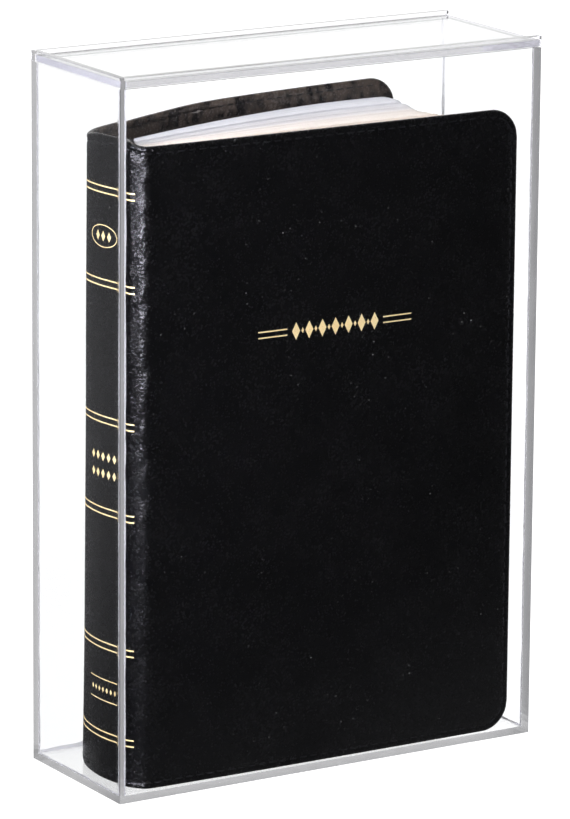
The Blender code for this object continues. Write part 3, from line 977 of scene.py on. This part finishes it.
def press(shape, outlines):
    """Presses flat outlines, each a list of places round and up the cover, as foil."""
    for outline in outlines:
        places = np.array(outline)
        levels = []
        for depth in (-FOIL_PROUD, FOIL_SUNK):
            run, z = places[:, 0], places[:, 1]
            level = depth + swell(run, z)
            levels.append([shape.verts.new(p) for p in cover_point(run, z, level)])
        top, bottom = levels
        half = len(top) // 2
        for layer in (top, bottom):
            for k in range(half - 1):
                shape.faces.new((layer[k], layer[k + 1], layer[-k - 2], layer[-k - 1]))
        for k in range(len(top)):
            after = (k + 1) % len(top)
            shape.faces.new((top[k], top[after], bottom[after], bottom[k]))


def strip(points, width):
    """The outline of a line of this width: out along one side and back along the other."""
    points = np.array(points, float)
    ahead = np.gradient(points, axis=0)
    ahead /= np.linalg.norm(ahead, axis=1, keepdims=True)
    side = np.stack([-ahead[:, 1], ahead[:, 0]], axis=1) * width / 2
    return [tuple(p) for p in points + side] + [tuple(p) for p in (points - side)[::-1]]


def rule(start, end, z, width=RULE_WIDTH):
    """A straight gold line round the cover from start to end, at one height."""
    count = max(2, round((end - start) / RULE_STEP))
    return strip([(start + (end - start) * k / count, z) for k in range(count + 1)], width)


def lozenge(run, z, wide, high):
    """A small diamond, standing on its point."""
    return [(run - wide / 2, z), (run, z + high / 2), (run + wide / 2, z), (run, z - high / 2)]


def oval(run, z, wide, high, width):
    """An oval line, as two halves."""
    halves = []
    for begin in (0.0, math.pi):
        points = []
        for k in range(OVAL_STEPS + 1):
            turn = begin + math.pi * k / OVAL_STEPS
            points.append((run + wide / 2 * math.cos(turn), z + high / 2 * math.sin(turn)))
        halves.append(strip(points, width))
    return halves


def row_of_lozenges(run, z, count, pitch, wide, high):
    """Diamonds in a row, centred on a place."""
    return [lozenge(run + (k - (count - 1) / 2) * pitch, z, wide, high) for k in range(count)]


def foil_finish():
    """Bright gold foil, broken here and there where the grain kept it off the leather."""
    finish = Finish("gold_foil")
    fine = finish.noise(0.5 * MM, 4)
    slow = finish.noise(9 * MM, 2)
    missing = finish.between(fine, 0.66, 0.74)
    gold = finish.blend(slow, (0.92, 0.68, 0.28), (1.0, 0.86, 0.5))
    finish.feed(Base_Color=finish.blend(missing, gold, (0.02, 0.016, 0.012)),
                Metallic=0.6 - 0.6 * missing, Roughness=0.32 + 0.2 * fine,
                Normal=finish.bump(fine, 0.03 * MM, Strength=0.6))
    return finish


foil = foil_finish()
spine_shape = bmesh.new()
rule_height = cover_foot + LOWEST_RULE
for panel in (0.0, SMALL_PANEL, LARGE_PANEL, SMALL_PANEL, LARGE_PANEL, SMALL_PANEL):
    rule_height += panel
    for offset in (-RULE_GAP / 2, RULE_GAP / 2):
        press(spine_shape, [rule(rule_start, rule_end, rule_height + offset)])
panel_pitch = SMALL_PANEL + LARGE_PANEL
foot_panel = cover_foot + LOWEST_RULE + SMALL_PANEL / 2
middle_panel = foot_panel + panel_pitch
head_panel = middle_panel + panel_pitch
near, far = spine_middle - FOOT_RULE_REACH, spine_middle + FOOT_RULE_REACH
for offset in (-FOOT_RULE_OFFSET, FOOT_RULE_OFFSET):
    press(spine_shape, [rule(near, far, foot_panel + offset, FOOT_RULE_WIDTH)])
press(spine_shape, row_of_lozenges(spine_middle, foot_panel, *FOOT_LOZENGES))
for offset in (-MIDDLE_ROW_OFFSET, MIDDLE_ROW_OFFSET):
    press(spine_shape, row_of_lozenges(spine_middle, middle_panel + offset, *MIDDLE_LOZENGES))
press(spine_shape, oval(spine_middle, head_panel, *OVAL))
press(spine_shape, row_of_lozenges(spine_middle, head_panel, *OVAL_LOZENGES))
new_piece("spine_gilding", spine_shape, "bible", [foil], (), 40)

TITLE_LEFT, TITLE_RIGHT, TITLE_HEIGHT = -30.7 * MM, 34.8 * MM, 167.3 * MM
TITLE_RULE_START = 20.5 * MM  # from the ornament's middle to the near end of its side rules
TITLE_RULE_WIDTH, TITLE_RULE_OFFSET = 0.5 * MM, 1.1 * MM
front_places = np.linspace(0, FRONT_JOINT, 200)
front_x = on_curve(PLAN_HEAD, front_places)[:, 0] * MM


def front_run(x):
    """How far round the cover a place on the front is, from its distance across the case."""
    return run_to(float(np.interp(-x, -front_x, front_places)))


title_run = front_run((TITLE_LEFT + TITLE_RIGHT) / 2)
title_half = (TITLE_RIGHT - TITLE_LEFT) / 2
front_shape = bmesh.new()
press(front_shape, row_of_lozenges(title_run, TITLE_HEIGHT, *TITLE_LOZENGES))
press(front_shape, row_of_lozenges(title_run, TITLE_HEIGHT, *TITLE_DOTS))
for side in (-1, 1):
    near, far = sorted((title_run + side * TITLE_RULE_START, title_run + side * title_half))
    for offset in (TITLE_RULE_OFFSET, -TITLE_RULE_OFFSET):
        press(front_shape, [rule(near, far, TITLE_HEIGHT + offset, TITLE_RULE_WIDTH)])
new_piece("front_gilding", front_shape, "bible", [foil], (), 40)


# ==== Studio =================================================================================
# A white floor and backdrop, soft lamps to the left and above, and a camera to the left of the
# front. In a reflection, the floor and the backdrop are bright only behind the case.

CAMERA_PLACE = Vector((-1.04284, -1.69918, 0.62081))
CAMERA_AIM = Vector((0.50777, 0.82761, -0.23922)).normalized()
CAMERA_ROLL = math.radians(-0.4625)
CAMERA_LENS = 244.2
BRIGHT_SIDE = Vector((CAMERA_AIM.x, CAMERA_AIM.y, 0)).normalized()
FLOOR_REACH = 30
FLOOR_DROP = 0.5 * MM
FLOOR_GLOW = (1.35, 1.35, 1.35)
FLOOR_REFLECTED = (0.006, 0.006, 0.006), (0.14, 0.14, 0.145)  # in front, and behind the case
BACKDROP_EDGE = -0.2  # how far round to the front the backdrop's glow reaches, as a cosine
BACKDROP_FALL, BACKDROP_GLOW, BACKDROP_LEAST = 2.6, 1.05, 0.015
COOL = (0.88, 0.87, 1.0)
NEUTRAL = (1.0, 1.0, 1.0)

floor_shape = bmesh.new()
bmesh.ops.create_grid(floor_shape, x_segments=1, y_segments=1, size=FLOOR_REACH)
floor_mesh = bpy.data.meshes.new("studio_floor")
floor_shape.to_mesh(floor_mesh)
floor_shape.free()
floor = bpy.data.objects.new("studio_floor", floor_mesh)
bpy.context.scene.collection.objects.link(floor)
floor.location.z = -FLOOR_DROP
white = Finish("studio_white", Base_Color=(0.0, 0.0, 0.0), Roughness=1.0, Specular_IOR_Level=0.0,
               Emission_Strength=1.0)
mirrored = white.node("ShaderNodeLightPath", out="Glossy Depth") > 0.5
behind = white.node("ShaderNodeVectorMath", {"operation": "DOT_PRODUCT"},
                    {0: white.place(), 1: BRIGHT_SIDE}, "Value")
reflected = white.blend(white.between(behind, -0.15, 0.22), *FLOOR_REFLECTED)
white.feed(Emission_Color=white.blend(mirrored, FLOOR_GLOW, reflected))
floor_mesh.materials.append(white.material)
floor.visible_shadow = False

world = bpy.data.worlds.new("studio")
bpy.context.scene.world = world
world.use_nodes = True
backdrop = Nodes(world.node_tree)
background = backdrop.tree.nodes["Background"]
toward = backdrop.node("ShaderNodeTexCoord", out="Generated")
facing = backdrop.node("ShaderNodeVectorMath", {"operation": "DOT_PRODUCT"},
                       {0: toward, 1: BRIGHT_SIDE}, "Value")
opened = (facing - BACKDROP_EDGE) * (1 / (1 - BACKDROP_EDGE))
opened = backdrop.node("ShaderNodeMath", {"operation": "MAXIMUM"}, {0: opened, 1: 0.0})
opened = backdrop.node("ShaderNodeMath", {"operation": "POWER"}, {0: opened, 1: BACKDROP_FALL})
seen = backdrop.node("ShaderNodeLightPath", out="Is Camera Ray")
glow = backdrop.node("ShaderNodeMath", {"operation": "MAXIMUM"},
                     {0: BACKDROP_GLOW * opened + BACKDROP_LEAST, 1: seen})
backdrop.plug(background.inputs["Color"], (1.0, 1.0, 1.0))
backdrop.plug(background.inputs["Strength"], glow)


def softbox(name, place, aim, size, power, colour):
    """A rectangular lamp at a place, turned to shine on a point."""
    lamp = bpy.data.lights.new(name, "AREA")
    lamp.shape = "RECTANGLE"
    lamp.size, lamp.size_y = size
    lamp.energy = power
    lamp.color = colour
    holder = bpy.data.objects.new(name, lamp)
    bpy.context.scene.collection.objects.link(holder)
    holder.location = place
    holder.rotation_euler = (Vector(aim) - Vector(place)).to_track_quat("-Z", "Y").to_euler()
    holder.visible_camera = False


case_middle = (0, 0, 0.13)
spine_head = (-0.075, -0.03, 0.23)
softbox("left_softbox", place=(-0.43, -0.31, 0.27), aim=spine_head, size=(0.2, 0.3), power=4.2,
        colour=COOL)
softbox("spine_softbox", place=(-0.6, -0.12, 0.28), aim=spine_head, size=(0.18, 0.26), power=1.8,
        colour=COOL)
softbox("overhead_softbox", place=(-0.5, -0.2, 1.9), aim=case_middle, size=(0.9, 0.9), power=15,
        colour=NEUTRAL)

camera_data = bpy.data.cameras.new("camera")
camera_data.lens = CAMERA_LENS
camera_data.sensor_width = 36
camera = bpy.data.objects.new("camera", camera_data)
bpy.context.scene.collection.objects.link(camera)
level = CAMERA_AIM.cross(Vector((0, 0, 1))).normalized()
right = Matrix.Rotation(CAMERA_ROLL, 3, CAMERA_AIM) @ level
up = right.cross(CAMERA_AIM)
turned = Matrix((right, up, -CAMERA_AIM)).transposed()
camera.matrix_world = Matrix.LocRotScale(CAMERA_PLACE, turned, None)
bpy.context.scene.camera = camera
bpy.context.scene.view_settings.view_transform = "Standard"
